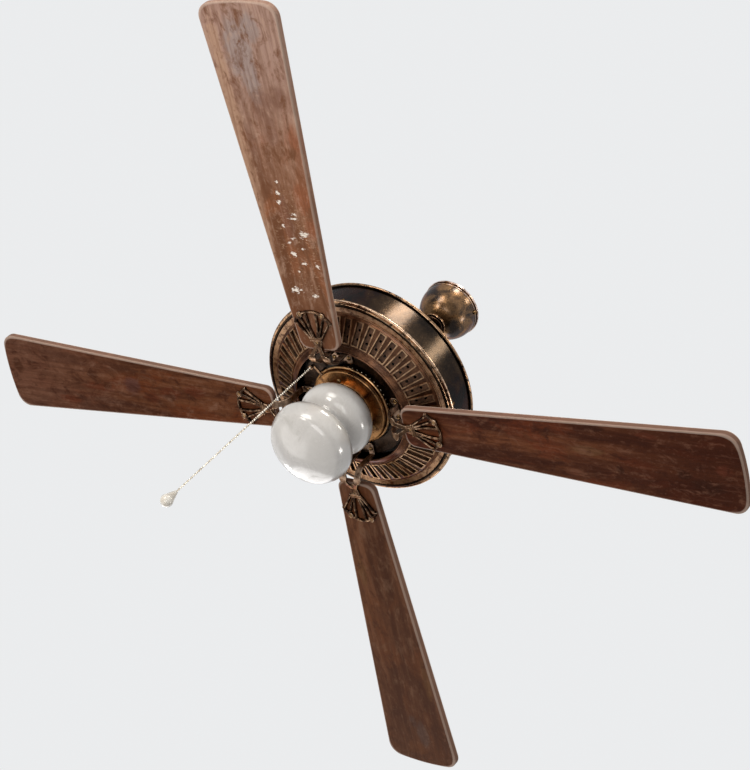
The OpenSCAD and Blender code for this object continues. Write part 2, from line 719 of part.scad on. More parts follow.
module cup_screws() color(brass) at_blades() {
  for (a = cup_screw_turns) rotate(a) translate([cup_r - 4, 0, cup_top - 4]) rotate([0, 90, 0]) {
    cylinder(r = small_screw_r, h = 4);
    translate([0, 0, 4]) cylinder(r = small_head_r, h = 1.4);
  }
  for (a = cup_bolt_turns) rotate(a) translate([cup_bolt_r, 0, cup_low - sheet]) {
    cylinder(r = small_screw_r, h = 2 * sheet + 2.4);
    translate([0, 0, 2 * sheet]) cylinder(r = small_head_r, h = 1.8);
  }
}

module pull_switch() color([0.16, 0.16, 0.17]) at_blades() rotate(chain_turn) {
  translate([28, -11, cup_low + 2.4]) cube([24, 22, 12]);
  translate([38, -4, cup_low + 14.4]) cube([8, 8, 5]);
}

module chain_guide() color(brass) at_blades() rotate(chain_turn) difference() {
  union() {
    translate([52, 0, guide_z]) rotate([0, 90, 0]) cylinder(r = guide_tube_r, h = chain_r - 52);
    translate([cup_r, 0, guide_z]) rotate([0, 90, 0]) cylinder(r = guide_flange_r, h = 2);
    translate([chain_r, 0, guide_z]) sphere(r = guide_tube_r);
    translate([chain_r, 0, guide_z - 4]) cylinder(r = guide_tube_r, h = 4);
    translate([chain_r, 0, guide_z - 7.4]) cylinder(r1 = guide_mouth_r, r2 = guide_tube_r, h = 3.6);
  }
  translate([chain_r, 0, guide_z - 9]) cylinder(r = chain_d / 2 + 0.3, h = 9 - 2.4);
}

module capacitor() color([0.1, 0.1, 0.11]) at_blades()
  rotate(180) translate([22, -19, cup_low + 2.4]) cube([18, 38, 14]);

module reverse_switch() color([0.12, 0.12, 0.13]) at_blades() rotate(lever_turn) difference() {
  translate([cup_r - sheet - 12, -11, lever_z - 5]) cube([10.4, 22, 7]);
  translate([cup_r - sheet - 7, -5.7, lever_z - 1.8]) cube([10, 11.4, 3.6]);
}

module reverse_lever() color([0.9, 0.9, 0.88]) at_blades() rotate(lever_turn)
  translate([cup_r - sheet - 6.6, -2, lever_z - 1.5]) cube([10.4, 4, 3]);

// ---- light ----

module light_fitter() color(brass) at_blades() difference() {
  rotate_extrude() {
    translate([fitter_r - sheet, fitter_low]) square([sheet, cup_low - fitter_low]);
    translate([cup_hole_r, cup_low - sheet]) square([fitter_r - cup_hole_r, sheet]);
    translate([fitter_r, fitter_low + 0.9]) circle(1);
  }
  for (a = thumb_turns) rotate(a) translate([fitter_r - 6, 0, thumb_z]) rotate([0, 90, 0])
    cylinder(r = 1.8, h = 10);
  for (a = cup_bolt_turns) rotate(a) translate([cup_bolt_r, 0, cup_low - 3])
    cylinder(r = small_screw_r, h = 6);
}

// centre of the hollow curve that joins the two bulges at the waist
function waist(ra, rb) = let (
    xa = glass_up_r - up_curve, xb = glass_low_r - shoulder_curve,
    base = [xb - xa, low_z - up_z], dist = norm(base),
    along = (ra * ra - rb * rb + dist * dist) / (2 * dist),
    side = sqrt(ra * ra - along * along), u = base / dist)
  [xa, up_z] + along * u + side * [-u[1], u[0]];

// outline of the glass, drawn in by a skin thickness
module glass2d(skin) {
  xa = glass_up_r - up_curve;
  xb = glass_low_r - shoulder_curve;
  xc = glass_low_r - low_curve;
  w = waist(up_curve + waist_curve - merge, shoulder_curve + waist_curve - merge);
  floor_z = -glass_deep + skin;
  intersection() {
    union() {
      translate([0, up_z]) square([neck_r - skin, neck_top - up_z + skin]);
      translate([xa, up_z]) circle(up_curve - skin);
      intersection() {
        translate([xb, low_z]) circle(shoulder_curve - skin);
        translate([xb - 1, low_z]) square([100, 100]);
      }
      intersection() {
        translate([xc, low_z]) circle(low_curve - skin);
        translate([0, low_z - 100]) square([200, 100]);
      }
      difference() {
        polygon([[0, up_z], [xa, up_z], w, [xb, low_z], [0, low_z]]);
        translate(w) circle(waist_curve + skin);
      }
      translate([0, low_z - 45]) square([xc, 45]);
    }
    union() {
      translate([0, floor_z + base_curve]) circle(base_curve);
      translate([0, low_z]) square([200, 200]);
    }
    translate([0, floor_z]) square([200, 200]);
  }
}

module glass_shade() color([0.93, 0.93, 0.9]) at_blades() difference() {
  union() {
    rotate_extrude() glass2d(0);
    rotate_extrude() translate([neck_r, neck_top - neck_bead]) circle(neck_bead);
  }
  rotate_extrude() glass2d(glass_t);
}

module shade_screws() color(brass) at_blades() for (a = thumb_turns) rotate(a)
  translate([neck_r, 0, thumb_z]) rotate([0, 90, 0]) {
    cylinder(r = 1.8, h = 9);
    translate([0, 0, 8]) cylinder(r = 3.2, h = 5);
  }

module lamp_socket() color([0.88, 0.87, 0.84]) at_blades() difference() {
  union() {
    translate([0, 0, 10]) cylinder(r = 12, h = cup_low - sheet - 10);
    translate([0, 0, socket_low]) cylinder(r = socket_r, h = 26);
  }
  translate([0, 0, socket_low - 1]) cylinder(r = 13.4, h = 23);
  translate([0, 0, socket_low]) cylinder(r = 3, h = 60);
}

module bulb() color([0.97, 0.96, 0.9]) at_blades() {
  translate([0, 0, -11]) cylinder(r = 13, h = 20);
  translate([0, 0, 8]) cylinder(r = 6, h = 1.9);
  translate([0, 0, -34]) cylinder(r1 = 20, r2 = 13, h = 23.01);
  translate([0, 0, bulb_z]) sphere(r = bulb_r);
}

// ---- pull chain ----

// ball chain, as a plain tube from the guide's mouth to the finial
module pull_chain() color([0.8, 0.78, 0.7]) at_blades() {
  route = [[chain_x, chain_y, chain_top], [chain_x, chain_y, -chain_deep]];
  step = (route[1] - route[0]) / chain_rings;
  polyhedron(
    points = [for (i = [0:chain_rings], j = [0:chain_sides - 1])
      route[0] + i * step + concat(polar(chain_d / 2, (j + 0.5) * 360 / chain_sides), [0])],
    faces = concat(
      [[for (j = [0:chain_sides - 1]) j]],
      [[for (j = [chain_sides - 1:-1:0]) chain_rings * chain_sides + j]],
      [for (i = [0:chain_rings - 1], j = [0:chain_sides - 1]) let (n = (j + 1) % chain_sides)
        [i * chain_sides + j, (i + 1) * chain_sides + j, (i + 1) * chain_sides + n, i * chain_sides + n]]));
}

// round drop with a cone up to the chain, the cone ending just inside the round part
module chain_finial() color([0.93, 0.92, 0.88]) at_blades() translate([chain_x, chain_y, -chain_deep]) {
  neck = 2.4;
  drop_z = finial_r - finial_len;
  lean = atan2(-drop_z, neck) - acos(finial_r / norm([neck, drop_z]));
  touch = finial_r - 0.3;
  touch_z = drop_z + touch * sin(lean);
  translate([0, 0, drop_z]) sphere(r = finial_r);
  translate([0, 0, touch_z]) cylinder(r1 = touch * cos(lean), r2 = neck, h = -touch_z);
}

hanger_bracket();
hanger_ball();
hanger_pin();
canopy();
canopy_collar();
canopy_screws();
downrod();
coupling_cover();
motor_coupling();
coupling_pin();
coupling_clip();
motor_shaft();
motor_housing();
vent_ring();
vent_liner();
housing_screws();
stator_core();
stator_windings();
bearing_top();
bearing_bottom();
rotor_cap_top();
rotor_cap_bottom();
rotor_ring();
flywheel();
blade_iron_1();
blade_iron_2();
blade_iron_3();
blade_iron_4();
iron_screws();
blade_1();
blade_2();
blade_3();
blade_4();
blade_screws();
blade_washers();
switch_plate();
shaft_nut();
switch_housing();
cup_screws();
pull_switch();
chain_guide();
capacitor();
reverse_switch();
reverse_lever();
light_fitter();
glass_shade();
shade_screws();
lamp_socket();
bulb();
pull_chain();
chain_finial();
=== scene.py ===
import bpy
import bmesh
import json
import math
from mathutils import Matrix, Vector


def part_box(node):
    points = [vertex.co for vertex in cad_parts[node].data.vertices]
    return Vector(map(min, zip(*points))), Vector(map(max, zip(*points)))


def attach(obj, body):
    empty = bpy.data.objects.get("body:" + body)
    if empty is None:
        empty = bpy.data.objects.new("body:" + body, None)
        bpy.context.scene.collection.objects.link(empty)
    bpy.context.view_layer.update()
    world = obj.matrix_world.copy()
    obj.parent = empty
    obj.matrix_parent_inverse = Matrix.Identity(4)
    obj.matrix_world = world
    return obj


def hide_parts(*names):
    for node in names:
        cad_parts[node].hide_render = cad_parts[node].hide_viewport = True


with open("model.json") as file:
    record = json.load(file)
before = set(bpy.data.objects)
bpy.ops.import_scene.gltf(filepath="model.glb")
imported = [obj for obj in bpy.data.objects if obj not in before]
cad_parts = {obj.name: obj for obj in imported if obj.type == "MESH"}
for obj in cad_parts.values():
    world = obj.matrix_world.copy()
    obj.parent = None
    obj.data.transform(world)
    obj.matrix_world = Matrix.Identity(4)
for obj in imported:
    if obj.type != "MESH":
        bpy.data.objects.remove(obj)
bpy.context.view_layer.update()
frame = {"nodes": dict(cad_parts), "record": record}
nodes = frame["nodes"]

# ---- camera, floor and light ----
# The fan hangs overhead, and the camera stands well off to one side and below it, turned on its
# own axis so that the fan's rod points to the upper right.

scene = bpy.context.scene
scene.view_settings.view_transform = "Standard"

camera = bpy.data.objects.new("camera", bpy.data.cameras.new("camera"))
scene.collection.objects.link(camera)
camera.location = (-1.8981, 1.6342, -2.5720)
camera.rotation_euler = [math.radians(turn) for turn in (143.292, -31.734, -166.011)]
camera.data.sensor_width = 36
camera.data.lens = 105.93
camera.data.clip_end = 60
scene.camera = camera


class Link:
    """A socket of a finish. Sums and products of links add the Math nodes that work them out."""

    def __init__(self, finish, socket):
        self.finish, self.socket = finish, socket

    def maths(self, operation, *values):
        return self.finish.node("ShaderNodeMath", {"operation": operation}, dict(enumerate(values)))

    def __add__(self, other):
        return self.maths("ADD", self, other)

    def __sub__(self, other):
        return self.maths("SUBTRACT", self, other)

    def __rsub__(self, other):
        return self.maths("SUBTRACT", other, self)

    def __mul__(self, other):
        return self.maths("MULTIPLY", self, other)

    def __abs__(self):
        return self.maths("ABSOLUTE", self)

    __radd__, __rmul__ = __add__, __mul__

    def rise(self, low, high):
        """0 below low, 1 above high, and a smooth step between; low may be above high."""
        return self.finish.node("ShaderNodeMapRange", {"interpolation_type": "SMOOTHSTEP"},
                                {"Value": self, "From Min": low, "From Max": high})

    def parts(self):
        """The x, y and z of a vector."""
        apart = self.finish.node("ShaderNodeSeparateXYZ", {}, {0: self}).socket.node
        return [Link(self.finish, socket) for socket in apart.outputs]


class Finish:
    """One material, round one shader. Its colour is laid on in coats by paint."""

    def __init__(self, name, **constants):
        self.material = bpy.data.materials.new(name)
        self.material.use_nodes = True
        self.tree = self.material.node_tree
        self.shader = self.tree.nodes["Principled BSDF"]
        for socket, value in constants.items():
            self.shader.inputs[socket.replace("_", " ")].default_value = value

    def put(self, socket, value):
        if isinstance(value, Link):
            self.tree.links.new(value.socket, socket)
        else:
            socket.default_value = value

    def node(self, kind, settings=None, links=None, out=0):
        """Any node: its type, its settings, what its sockets are given, and which output is wanted."""
        made = self.tree.nodes.new(kind)
        for name, value in (settings or {}).items():
            setattr(made, name, value)
        for name, value in (links or {}).items():
            self.put(made.inputs[name], value)
        return Link(self, made.outputs[out]) if made.outputs else None

    def at(self, stretch=(1, 1, 1), shift=(0, 0, 0)):
        """The place on the piece, in metres, stretched and shifted."""
        place = self.node("ShaderNodeTexCoord", out=3)
        return self.node("ShaderNodeVectorMath", {"operation": "MULTIPLY_ADD"},
                         {0: place, 1: stretch, 2: shift})

    def length(self, vector):
        return self.node("ShaderNodeVectorMath", {"operation": "LENGTH"}, {0: vector}, out=1)

    def noise(self, at, scale, detail=4, rough=0.55, warp=0.0):
        return self.node("ShaderNodeTexNoise", {}, {"Vector": at, "Scale": scale, "Detail": detail,
                                                    "Roughness": rough, "Distortion": warp})

    def mix(self, share, first, second, blend="MIX"):
        first, second = [c if isinstance(c, Link) else (*c, 1) for c in (first, second)]
        return self.node("ShaderNodeMix", {"data_type": "RGBA", "blend_type": blend},
                         {0: share, 6: first, 7: second}, out=2)

    def paint(self, share, colour, blend="MIX"):
        self.colour = self.mix(share, self.colour, colour, blend)
        self.show(Base_Color=self.colour)

    def bump(self, height, distance, strength, under=None):
        links = {"Height": height, "Distance": distance, "Strength": strength}
        if under:
            links["Normal"] = under
        return self.node("ShaderNodeBump", {}, links)

    def show(self, **links):
        for socket, value in links.items():
            self.put(self.shader.inputs[socket.replace("_", " ")], value)

    def cover(self, *names):
        for name in names:
            piece = nodes[name] if isinstance(name, str) else name
            piece.data.materials.clear()
            piece.data.materials.append(self.material)


SHARP_EDGE = math.radians(35)


def raw_object(name, vertices, faces):
    """A mesh object, smooth but for its sharp edges."""
    mesh = bpy.data.meshes.new(name)
    mesh.from_pydata(vertices, [], faces)
    shell = bmesh.new()
    shell.from_mesh(mesh)
    bmesh.ops.recalc_face_normals(shell, faces=shell.faces)
    shell.to_mesh(mesh)
    shell.free()
    for face in mesh.polygons:
        face.use_smooth = True
    mesh.set_sharp_from_angle(angle=SHARP_EDGE)
    made = bpy.data.objects.new(name, mesh)
    scene.collection.objects.link(made)
    return made


def seen_by(finish):
    """Three links: 1 where the camera looks straight on, where a metal does, and where a glass does."""
    return [finish.node("ShaderNodeLightPath", out=output) for output in (0, 3, 6)]


# The floor is a wide matt sheet, far below the fan. It glows a little, so that it stays pale.
FLOOR_Z, FLOOR_HALF, FLOOR_GLOW, GLOW_IN_METAL = -6.6, 30.0, 0.6, 0.3
floor = raw_object("floor", [(x * FLOOR_HALF, y * FLOOR_HALF, FLOOR_Z)
                             for x, y in ((-1, -1), (1, -1), (1, 1), (-1, 1))], [(0, 1, 2, 3)])
floor_paint = Finish("pale_floor", Base_Color=(0.80, 0.80, 0.79, 1), Roughness=0.9, Emission_Strength=1.0)
by_camera, by_metal, by_glass = seen_by(floor_paint)
glow = FLOOR_GLOW * (by_camera + by_glass + GLOW_IN_METAL * by_metal)
floor_paint.show(Emission_Color=floor_paint.mix(glow, (0, 0, 0), (0.80, 0.81, 0.82)))
floor_paint.cover(floor)


class Backdrop(Finish):
    """The studio's own nodes, made as those of a finish are."""

    def __init__(self, name):
        scene.world = bpy.data.worlds.new(name)
        scene.world.use_nodes = True
        self.tree = scene.world.node_tree
        self.tree.nodes.clear()


# The world lights softly, and shows the camera, metal and glass a plain pale backdrop.
studio = Backdrop("studio")
by_camera, by_metal, by_glass = seen_by(studio)
seen = by_camera.maths("MAXIMUM", by_camera.maths("MAXIMUM", by_camera, by_metal), by_glass)
soft = studio.node("ShaderNodeBackground", {}, {"Color": (0.94, 0.96, 1.0, 1), "Strength": 0.24})
pale = studio.node("ShaderNodeBackground", {}, {"Color": (0.83, 0.84, 0.85, 1), "Strength": 1.0})
studio.node("ShaderNodeOutputWorld", {},
            {"Surface": studio.node("ShaderNodeMixShader", {}, {0: seen, 1: soft, 2: pale})})

LAMP_AIM = Vector((0, 0, -0.30))


def lamp(name, turn, rise, distance, size, power, colour):
    """A round soft lamp, turn degrees round the fan from +X and rise degrees above it."""
    data = bpy.data.lights.new(name, "AREA")
    data.shape, data.size, data.energy, data.color = "DISK", size, power, colour
    made = bpy.data.objects.new(name, data)
    turn, rise = math.radians(turn), math.radians(rise)
    way = Vector((math.cos(rise) * math.cos(turn), math.cos(rise) * math.sin(turn), math.sin(rise)))
    made.location = LAMP_AIM + distance * way
    made.rotation_mode = "QUATERNION"
    made.rotation_quaternion = (-way).to_track_quat("-Z", "Y")
    made.visible_camera = False
    scene.collection.objects.link(made)


# Each lamp's turn, rise, distance, size, power and colour.
lamp("key_lamp", 82, -14, 3.2, 1.4, 42, (1.0, 0.96, 0.90))
lamp("canopy_lamp", 72, -38, 3.2, 0.8, 22, (1.0, 0.94, 0.84))
lamp("wall_lamp", 106, 45, 3.4, 0.9, 54, (1.0, 0.95, 0.86))
lamp("side_lamp", 161, 45, 3.4, 0.6, 16, (1.0, 0.92, 0.74))
lamp("back_lamp", -157, -2, 3.2, 0.7, 16, (1.0, 0.96, 0.90))
lamp("rim_lamp", -44, 2, 3.2, 0.5, 7, (1.0, 0.98, 0.95))
lamp("low_lamp", -66, -12, 3.2, 2.4, 44, (1.0, 0.98, 0.97))
lamp("dust_lamp", -18, -50, 3.4, 2.6, 24, (1.0, 0.97, 0.94))
lamp("front_lamp", 120, -58, 3.6, 2.2, 42, (1.0, 0.98, 0.95))

# ---- pull chain and its weight ----
# A ball chain of plated brass hangs straight down from its guide. Hollow balls are crimped over
# short pins, and a turned white weight is on the last one.

CHAIN_D, BALL_PITCH, PIN_R, ROUTE_STEPS = 0.0032, 0.0043, 0.00055, 20
chain_low, chain_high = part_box("pull_chain")
chain_x, chain_y = [(chain_low[i] + chain_high[i]) / 2 for i in (0, 1)]
chain_len = chain_high.z - chain_low.z


def turned(profile, around):
    """Vertices and faces of a shape turned about Z, from points of radius and height."""
    points, rows = [], []
    for radius, z in profile:
        count = around if radius > 1e-7 else 1
        rows.append([len(points) + k % count for k in range(around)])
        points += [Vector((radius * math.cos(turn), radius * math.sin(turn), z))
                   for turn in (2 * math.pi * k / count for k in range(count))]
    faces = []
    for low, high in zip(rows, rows[1:]):
        for k in range(around):
            n = (k + 1) % around
            faces.append(tuple(dict.fromkeys((low[k], low[n], high[n], high[k]))))
    return points, faces


def joined(shapes):
    """One list of vertices and one of faces from several."""
    points, faces = [], []
    for some_points, some_faces in shapes:
        start = len(points)
        points += some_points
        faces += [tuple(start + i for i in face) for face in some_faces]
    return points, faces


def set_at(shape, foot, way=(0, 0, 1)):
    """A shape with its Z axis turned along way and its origin moved to foot."""
    turn = Vector(way).to_track_quat("Z", "Y")
    return [Vector(foot) + turn @ p for p in shape[0]], shape[1]


def curve(centre, radius, start, end, steps):
    """Points of an arc from start to end, in degrees."""
    turns = [math.radians(start + (end - start) * k / steps) for k in range(steps + 1)]
    return [(centre[0] + radius * math.cos(t), centre[1] + radius * math.sin(t)) for t in turns]


balls = int(chain_len / BALL_PITCH)
pitch = (chain_len - CHAIN_D) / (balls - 1)
heights = [chain_high.z - CHAIN_D / 2 - k * pitch for k in range(balls)]
ball = turned([(0, CHAIN_D / 2)] + curve((0, 0), CHAIN_D / 2, 67, -67, 5) + [(0, -CHAIN_D / 2)], around=12)
pin = turned([(PIN_R, 0), (PIN_R, pitch)], around=6)
chain = raw_object("ball_chain", *joined([set_at(ball, (chain_x, chain_y, z)) for z in heights]
                                         + [set_at(pin, (chain_x, chain_y, z)) for z in heights[1:]]))
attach(chain, "chain")
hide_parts("pull_chain")
plated = Finish("plated_chain", Metallic=1.0)
tarnish = plated.noise(plated.at(), 160).rise(0.42, 0.62)
plated.show(Base_Color=plated.mix(tarnish, (0.80, 0.74, 0.64), (0.46, 0.39, 0.30)),
            Roughness=0.26 + 0.2 * tarnish)
plated.cover(chain)

glazed = Finish("glazed_weight", Coat_Weight=0.4)
crazing = glazed.node("ShaderNodeTexVoronoi", {"feature": "DISTANCE_TO_EDGE"},
                      {"Vector": glazed.at(), "Scale": 330})
grime = glazed.noise(glazed.at(), 90, 4).rise(0.45, 0.7)
glazed.colour = glazed.mix(0.5 * grime, (0.78, 0.75, 0.69), (0.52, 0.45, 0.36))
glazed.paint(0.5 * crazing.rise(0.05, 0.0), (0.40, 0.33, 0.25))
glazed.show(Roughness=0.2 + 0.25 * grime)
glazed.cover("chain_finial")

# ---- ceiling bracket, ball and pin ----
# A zinc-plated strap and cup are bolted to the ceiling box, and an off-white moulded ball, with a
# steel cross pin through it, sits in the cup and carries the rod.


def plated_steel(name, colour, dull, rough=0.34):
    """Zinc-plated or machined steel, with a fine brushed line and dull patches."""
    steel = Finish(name, Metallic=1.0)
    brushed = steel.noise(steel.at((300, 300, 1600)), 1.0, 3)
    patch = steel.noise(steel.at(), 60, 4, 0.6)
    steel.colour = steel.mix(patch.rise(0.38, 0.62), colour, dull)
    steel.paint(0.35 * brushed.rise(0.5, 0.75), dull, "MULTIPLY")
    steel.show(Roughness=rough + 0.3 * patch - 0.1 * brushed,
               Normal=steel.bump(brushed + patch, 0.00012, 0.4))
    return steel


plated_steel("zinc_plate", (0.52, 0.53, 0.52), (0.34, 0.34, 0.32)).cover("hanger_bracket", "hanger_pin")
nylon = Finish("ball_nylon", Specular_IOR_Level=0.4)
rubbed = nylon.noise(nylon.at((1, 1, 5)), 90, 4)
nylon.show(Base_Color=nylon.mix(rubbed.rise(0.4, 0.7), (0.70, 0.67, 0.58), (0.50, 0.46, 0.38)),
           Roughness=0.35 + 0.3 * rubbed, Normal=nylon.bump(nylon.noise(nylon.at(), 500), 0.0001, 0.5))
nylon.cover("hanger_ball")

# ---- canopy, its collar and screws ----
# A spun brass dome with an antique bronze lacquer covers the bracket. It has a beaded rim against
# the ceiling, a darker double collar at its mouth, and two slotted brass screws in its side.

EDGE_TINT, RUBBED_AND_LIT = (0.34, 0.24, 0.17, 1), (0.50, 0.30, 0.17)
CANOPY_RIM, COLLAR_RIM = (0.0462, 0.0474), (0.0186, 0.0200)
CANOPY_SCREW_R, CANOPY_SCREW_Z = 0.0403, -0.008


def old_bronze(name, deep, body, bright, rough=0.26, cloud_size=34, dents=0.0009, lacquer=0.12):
    """Bronze under an old brown lacquer: cloudy, finely speckled, and softly dented."""
    bronze = Finish(name, Metallic=1.0, Coat_Weight=lacquer, Coat_Roughness=0.20, Specular_Tint=EDGE_TINT)
    at = bronze.at()
    cloud = bronze.noise(at, cloud_size, 5, 0.62, 0.5)
    speck = bronze.noise(at, 520, 3, 0.65)
    bronze.colour = bronze.mix(cloud.rise(0.34, 0.66), deep, body)
    bronze.paint(0.55 * cloud * speck.rise(0.56, 0.72), bright)
    bronze.paint(0.6 * speck.rise(0.44, 0.30), deep)
    dented = bronze.bump(bronze.noise(at, 42, 2, 0.4), dents, 0.5)
    bronze.show(Roughness=rough + 0.26 * (cloud - 0.5) + 0.22 * (speck - 0.5),
                Normal=bronze.bump(speck, 0.00012, 0.5, dented))
    return bronze


def from_axis(finish):
    """How far a point is from the fan's axis."""
    return finish.length(finish.at((1, 1, 0)))


def rim_wear_and_sheen(finish, low, high, colour, share):
    """A bright band off the axis, from none at low to its share at high: lacquer rubbed through to bright
    metal, and on the drum's beads, the cup's rim and the irons' feet partly a painted highlight.
    """
    worn = finish.noise(finish.at(), 120, 4, 0.7).rise(0.34, 0.56)
    finish.paint(share * worn * from_axis(finish).rise(low, high), colour)


dome = old_bronze("canopy_bronze", (0.016, 0.007, 0.003), (0.25, 0.130, 0.052), (0.66, 0.42, 0.22),
                  rough=0.30, cloud_size=40, dents=0.0020, lacquer=0.6)
rim_wear_and_sheen(dome, *CANOPY_RIM, (0.72, 0.56, 0.50), 0.9)
dome.cover("canopy")
collar = old_bronze("collar_bronze", (0.010, 0.006, 0.004), (0.06, 0.032, 0.018), (0.30, 0.18, 0.11))
rim_wear_and_sheen(collar, *COLLAR_RIM, RUBBED_AND_LIT, 0.5)
collar.cover("canopy_collar")


def slotted_screw(shank_r, shank, head_r, head, slot=0.0009):
    """A screw along Z from the foot of its shank: a domed head in two halves, with a slot between."""
    slot_depth, around = 0.55 * head, 14
    dome_r = [head_r * share for share in (1.0, 0.98, 0.9, 0.75, 0.5, 0.25, 0.0)]
    dome_z = [shank + head * share for share in (0.0, 0.35, 0.66, 0.84, 0.95, 0.99, 1.0)]
    points, faces = [], []
    for side in (1, -1):
        start = len(points)
        for radius, z in zip(dome_r, dome_z):
            for k in range(around + 1):
                turn = math.pi * k / around
                points.append(Vector((side * radius * math.cos(turn),
                                      side * max(slot / 2, radius * math.sin(turn)), z)))
        rows = [[start + row * (around + 1) + k for k in range(around + 1)] for row in range(len(dome_r))]
        faces += [(a[k], a[k + 1], b[k + 1], b[k]) for a, b in zip(rows, rows[1:]) for k in range(around)]
        faces.append(tuple([row[0] for row in rows] + [row[-1] for row in rows[-2::-1]]))
    core_r, slot_z = 0.96 * head_r, shank + head - slot_depth
    base = turned([(0, slot_z), (core_r, slot_z), (core_r, shank), (shank_r, shank), (shank_r, 0), (0, 0)],
                  around=2 * around)
    return joined([(points, faces), base])


def screw_set(name, node, finish, screw, places):
    """Like screws in place of a CAD node, each with its foot and the way that it points."""
    made = raw_object(name, *joined([set_at(screw, foot, way) for foot, way in places]))
    bodies = frame["record"]["behaviour"]["bodies"]
    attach(made, next(body for body, names in bodies.items() if node in names))
    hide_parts(node)
    finish.cover(made)


def round_axis(radius, z, turn):
    """A place at a radius and height, turn degrees round the fan's axis from +X."""
    turn = math.radians(turn)
    return Vector((radius * math.cos(turn), radius * math.sin(turn), z))


def outward(radius, z, turns):
    """Places round the axis for screws that point away from it."""
    return [(round_axis(radius, z, turn), round_axis(1, 0, turn)) for turn in turns]


screw_brass = old_bronze("screw_brass", (0.10, 0.055, 0.025), (0.34, 0.20, 0.085), (0.62, 0.44, 0.24),
                         rough=0.3, cloud_size=260)
canopy_screw = slotted_screw(shank_r=0.00175, shank=0.0066, head_r=0.0034, head=0.0021)
screw_set("canopy_screw_heads", "canopy_screws", screw_brass, canopy_screw,
          outward(CANOPY_SCREW_R, CANOPY_SCREW_Z, (0, 180)))

# ---- rod, coupling and its cover ----
# A bronze tube, pinned to the ball above, drops into a steel coupling on the motor's shaft, where a
# clevis pin and a clip hold it. A spun bronze cup hides the coupling.

rod = old_bronze("rod_bronze", (0.03, 0.016, 0.009), (0.12, 0.066, 0.034), (0.34, 0.21, 0.12),
                 rough=0.24, cloud_size=30)
rod.cover("downrod", "coupling_cover")
plated_steel("machined_steel", (0.40, 0.40, 0.40), (0.22, 0.21, 0.20), 0.28).cover(
    "motor_coupling", "coupling_pin", "coupling_clip", "motor_shaft", "bearing_top", "bearing_bottom",
    "switch_plate", "shaft_nut")

# ---- motor housing and its screws ----
# The drum is one spinning of bronze-lacquered steel. A round bead stiffens its top edge, and a
# wide bead between two narrow ones runs round its foot. The beads are painted bright, partly rubbed
# by years of dusting and partly a painted highlight.

NARROW_BEAD, WIDE_BEAD = (0.1588, 0.1604), (0.1624, 0.1640)
HOUSING_SCREW_R, HOUSING_SCREW_Z = 0.151, -0.261
drum = old_bronze("drum_bronze", (0.006, 0.003, 0.0015), (0.042, 0.025, 0.014), (0.16, 0.11, 0.065),
                  rough=0.22, cloud_size=16, dents=0.0012, lacquer=0.24)
# Painted highlight, with some real wear: the beads are painted bright.
rim_wear_and_sheen(drum, *NARROW_BEAD, RUBBED_AND_LIT, 0.85)
rim_wear_and_sheen(drum, *WIDE_BEAD, (0.70, 0.50, 0.36), 0.7)
drum.cover("motor_housing")
housing_screw = slotted_screw(shank_r=0.0016, shank=0.006, head_r=0.0028, head=0.0015)
screw_set("housing_screw_heads", "housing_screws", screw_brass, housing_screw,
          outward(HOUSING_SCREW_R, HOUSING_SCREW_Z, (0, 90, 180, 270)))

# ---- vent ring and liner ----
# A pressed bronze cone closes the drum's underside, with a fence of slots, each in a raised frame.
# The frames are rubbed to a tan colour. A perforated liner lies just inside the slots.

SLOTS, SLOT_W, SLOT_IN, SLOT_OUT, FRAME_W, FADE = 44, 0.009, 0.108, 0.141, 0.0017, 0.0004
VENT_RIM = (0.1465, 0.1480)
vent = old_bronze("vent_bronze", (0.052, 0.020, 0.009), (0.178, 0.078, 0.038), (0.50, 0.33, 0.21),
                  rough=0.42, cloud_size=46, lacquer=0.25)
vent_x, vent_y = vent.at().parts()[:2]
vent_r = from_axis(vent)
slot_step = vent_y.maths("ARCTAN2", vent_y, vent_x) * (SLOTS / (2 * math.pi)) + 0.5
slot_step = slot_step.maths("FRACT", slot_step)
off_slot = abs(slot_step - 0.5) * vent_r * (2 * math.pi / SLOTS)
frame_in, frame_out, frame_side = SLOT_IN - FRAME_W, SLOT_OUT + FRAME_W, SLOT_W / 2 + FRAME_W
along = vent_r.rise(frame_in - FADE, frame_in) * vent_r.rise(frame_out + FADE, frame_out)
on_frame = along * off_slot.rise(frame_side + FADE, frame_side)
worn = vent.noise(vent.at(), 90, 4, 0.7)
# Painted shade: the narrow lands between the slot frames are darkened.
vent.paint(0.55 * along * (1 - on_frame), (0.030, 0.013, 0.007))
vent.paint(on_frame * worn.rise(0.30, 0.60), (0.43, 0.27, 0.16))
rim_wear_and_sheen(vent, *VENT_RIM, RUBBED_AND_LIT, 0.7)
vent.cover("vent_ring")

liner = Finish("liner_lacquer", Metallic=0.5)
mottle = liner.noise(liner.at(), 130, 5, 0.7)
liner.colour = liner.mix(mottle.rise(0.35, 0.62), (0.045, 0.020, 0.010), (0.135, 0.066, 0.034))
liner.show(Base_Color=liner.colour, Roughness=0.45 + 0.3 * mottle, Normal=liner.bump(mottle, 0.0006, 0.6))
liner.cover("vent_liner")

# ---- motor ----
# The stator is a stack of punched steel with sixteen enamelled copper coils. A laminated ring and
# two cast aluminium caps turn round it on a bearing above and one below.

